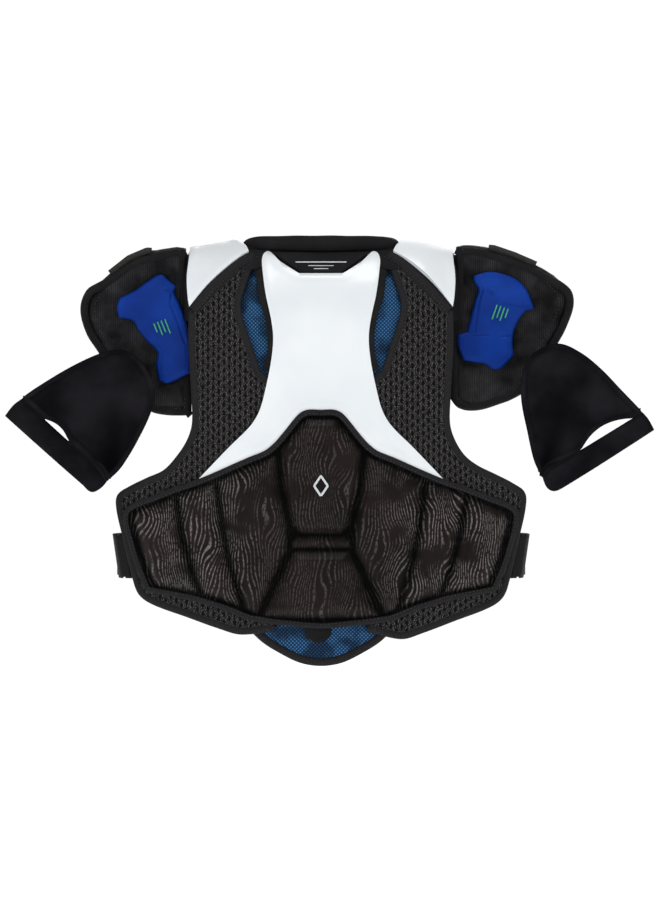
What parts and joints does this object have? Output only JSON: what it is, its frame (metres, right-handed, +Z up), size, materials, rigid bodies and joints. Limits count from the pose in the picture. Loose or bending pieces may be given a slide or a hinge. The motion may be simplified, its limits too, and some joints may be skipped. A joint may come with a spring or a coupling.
{
  "type": "hockey shoulder pads",
  "caption": "Hockey shoulder pads: padded back with spine plate and lower guard, lifting front, arm pads with biceps wraps and elastic side straps; worn over the head.",
  "frame": {"origin": "centre of the neck opening on the shoulder line", "axes": "+X to the wearer's right, +Y to the wearer's front, +Z up"},
  "size_m": [0.7132, 0.2105, 0.4742],
  "materials": {
    "white_plastic": "smooth satin white moulded plastic",
    "blue_mesh": "spacer mesh with fine holes",
    "blue_foam": "moulded foam, satin",
    "black_mesh": "coarse three-dimensional spacer mesh",
    "black_fabric": "brushed knitted fabric",
    "guard_fabric": "thermoformed fabric with a grey wavy line print",
    "dark_shell": "dark grey moulded plastic",
    "elastic": "woven elastic"
  },
  "bodies": {
    "back": {"spine_liner": "blue_mesh", "spine_pad": "black_fabric", "spine_plate": "white_plastic", "label_patch": "black_fabric", "guard_base": "guard_fabric", "guard_centre": "guard_fabric", "guard_bar": "guard_fabric", "guard_lower": "guard_fabric", "collar_back": "black_fabric", "side_panel_right": "black_mesh", "guard_inner_right": "guard_fabric", "guard_middle_right": "guard_fabric", "guard_outer_right": "guard_fabric", "yoke_pad_right": "black_fabric", "yoke_plate_right": "white_plastic", "strap_anchor_right": "elastic", "side_panel_left": "black_mesh", "guard_inner_left": "guard_fabric", "guard_middle_left": "guard_fabric", "guard_outer_left": "guard_fabric", "yoke_pad_left": "black_fabric", "yoke_plate_left": "white_plastic", "strap_anchor_left": "elastic"},
    "front": {"sternum_plate": "dark_shell", "collar_front": "black_fabric", "chest_panel_right": "black_mesh", "chest_plate_right": "white_plastic", "landing_patch_right": "elastic", "chest_panel_left": "black_mesh", "chest_plate_left": "white_plastic", "landing_patch_left": "elastic"},
    "belly": {"belly_pad": "black_mesh", "belly_plate": "white_plastic"},
    "arm_right": {"arm_pad_right": "black_fabric", "arm_insert_right": "blue_foam", "cap_shell_right": "dark_shell", "arm_plate_right": "white_plastic"},
    "wrap_right": {"wrap_right": "black_fabric", "wrap_band_right": "elastic", "biceps_plate_right": "white_plastic"},
    "strap_right": {"side_strap_right": "elastic", "strap_tab_right": "dark_shell"},
    "arm_left": {"arm_pad_left": "black_fabric", "arm_insert_left": "blue_foam", "cap_shell_left": "dark_shell", "arm_plate_left": "white_plastic"},
    "wrap_left": {"wrap_left": "black_fabric", "wrap_band_left": "elastic", "biceps_plate_left": "white_plastic"},
    "strap_left": {"side_strap_left": "elastic", "strap_tab_left": "dark_shell"}
  },
  "joints": [
    {"name": "front_lift", "type": "hinge", "parent": "back", "child": "front", "pos_m": [0, 0.061, 0.008], "axis": [1, 0, 0], "range_deg": [0, 45]},
    {"name": "belly_flap", "type": "hinge", "parent": "front", "child": "belly", "pos_m": [0, 0.09, -0.253], "axis": [1, 0, 0], "range_deg": [0, 40]},
    {"name": "arm_right_raise", "type": "hinge", "parent": "back", "child": "arm_right", "pos_m": [0.1495, -0.05, 0.014], "axis": [0, -1, 0], "range_deg": [0, 60]},
    {"name": "wrap_right_swing", "type": "hinge", "parent": "arm_right", "child": "wrap_right", "pos_m": [0.243, -0.062, -0.122], "axis": [0, -1, 0], "range_deg": [0, 25]},
    {"name": "strap_right_swing", "type": "hinge", "parent": "back", "child": "strap_right", "pos_m": [0.224, -0.028, -0.3245], "axis": [0, 0, -1], "range_deg": [0, 75]},
    {"name": "arm_left_raise", "type": "hinge", "parent": "back", "child": "arm_left", "pos_m": [-0.1495, -0.05, 0.014], "axis": [0, 1, 0], "range_deg": [0, 60]},
    {"name": "wrap_left_swing", "type": "hinge", "parent": "arm_left", "child": "wrap_left", "pos_m": [-0.215, -0.062, -0.124], "axis": [0, 1, 0], "range_deg": [0, 25]},
    {"name": "strap_left_swing", "type": "hinge", "parent": "back", "child": "strap_left", "pos_m": [-0.224, -0.028, -0.3245], "axis": [0, 0, 1], "range_deg": [0, 75]}
  ]
}
